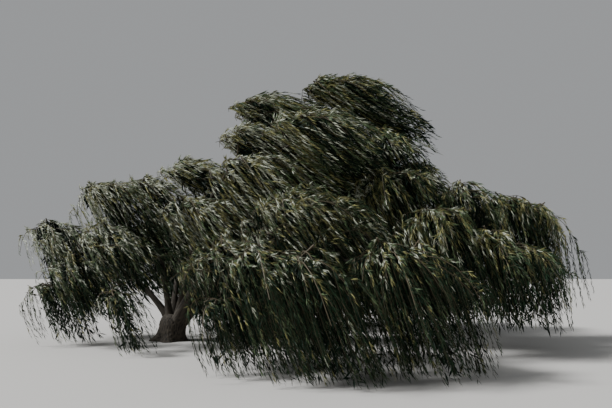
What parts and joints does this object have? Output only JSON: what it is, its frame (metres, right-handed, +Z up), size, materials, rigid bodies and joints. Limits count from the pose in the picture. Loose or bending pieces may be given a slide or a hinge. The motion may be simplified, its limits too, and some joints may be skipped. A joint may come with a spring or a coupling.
{
  "type": "weeping willow tree",
  "caption": "Weeping willow leaning before a strong wind: a short flared bole, fanned boughs and streaming curtains of foliage that hang to the ground.",
  "frame": {"origin": "centre of the flat cut under the trunk, at ground level", "axes": "+Z up the trunk, +X downwind, towards the long side of the crown, +Y away from the side that the picture shows"},
  "size_m": [17.1058, 15.8693, 8.168],
  "materials": {
    "bark": "rough",
    "foliage": "satin"
  },
  "bodies": {
    "root": {"trunk": "bark", "bough_leader": "bark", "bough_right": "bark", "bough_front": "bark", "bough_back": "bark", "bough_mid": "bark", "bough_left": "bark", "bough_far_left": "bark", "bough_back_left": "bark", "bough_top_left": "bark", "bough_upper_mid": "bark", "bough_upper_right": "bark", "bough_back_upper": "bark", "bough_shoulder": "bark", "bough_left_inner": "bark", "bough_left_low": "bark", "bough_right_upper": "bark", "bough_right_low": "bark", "bough_front_left": "bark", "bough_front_mid": "bark", "bough_front_right": "bark", "bough_back_right": "bark", "foliage_left_dome": "foliage", "foliage_left_crest": "foliage", "foliage_left_inner": "foliage", "foliage_far_left": "foliage", "foliage_left_low": "foliage", "foliage_left_hem": "foliage", "foliage_left_front": "foliage", "foliage_shoulder": "foliage", "foliage_inner_left": "foliage", "foliage_upper_left": "foliage", "foliage_mid_slope": "foliage", "foliage_top_left": "foliage", "foliage_top_mid": "foliage", "foliage_top_right": "foliage", "foliage_upper_mid": "foliage", "foliage_upper_right": "foliage", "foliage_right_slope": "foliage", "foliage_centre_dome": "foliage", "foliage_front_left": "foliage", "foliage_front_skirt": "foliage", "foliage_front_mid_left": "foliage", "foliage_front_mid": "foliage", "foliage_front_mid_right": "foliage", "foliage_front_right": "foliage", "foliage_right_crest": "foliage", "foliage_right_upper": "foliage", "foliage_right_mid": "foliage", "foliage_far_right": "foliage", "foliage_right_inner": "foliage", "foliage_right_low": "foliage", "foliage_right_hem": "foliage", "foliage_back_left": "foliage", "foliage_back_mid_left": "foliage", "foliage_back_mid": "foliage", "foliage_back_right": "foliage", "foliage_far_back_right": "foliage", "foliage_back_upper": "foliage", "foliage_back_upper_right": "foliage"}
  },
  "joints": []
}
